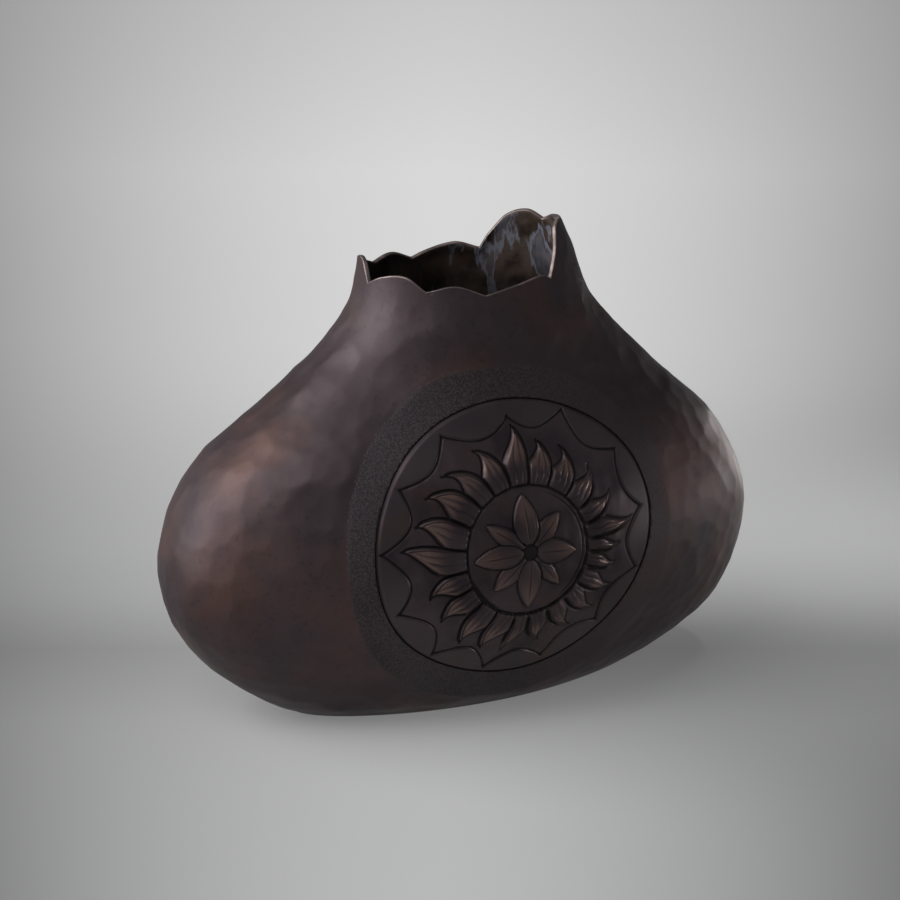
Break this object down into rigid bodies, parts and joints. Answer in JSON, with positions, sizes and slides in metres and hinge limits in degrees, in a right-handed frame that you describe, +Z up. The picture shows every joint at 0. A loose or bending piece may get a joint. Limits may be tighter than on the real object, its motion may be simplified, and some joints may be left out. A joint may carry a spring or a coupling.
{
  "type": "vase",
  "caption": "Wide flattened hammered-copper vase with a scalloped mouth, one side of it raised, and a chased sun and flower medallion on the front.",
  "frame": {"origin": "middle of the underside of the base plate, on the surface that the vase stands on", "axes": "+X along the vase's width, to the right of someone facing the medallion; +Y towards the back, through its depth; +Z up"},
  "size_m": [0.3201, 0.1688, 0.242],
  "materials": {
    "patinated_copper": "hammered copper with a dark purplish brown patina, satin",
    "chased_copper": "chased copper with a dark brown patina, rubbed lighter on the high points",
    "base_copper": "copper sheet with a dark patina, matt",
    "braze": "brazing alloy, tarnished and matt"
  },
  "bodies": {
    "root": {"front_shell": "patinated_copper", "back_shell": "patinated_copper", "medallion_disc": "chased_copper", "base_plate": "base_copper", "base_seam": "braze", "left_side_seam": "braze", "right_side_seam": "braze", "medallion_seam": "braze"}
  },
  "joints": []
}
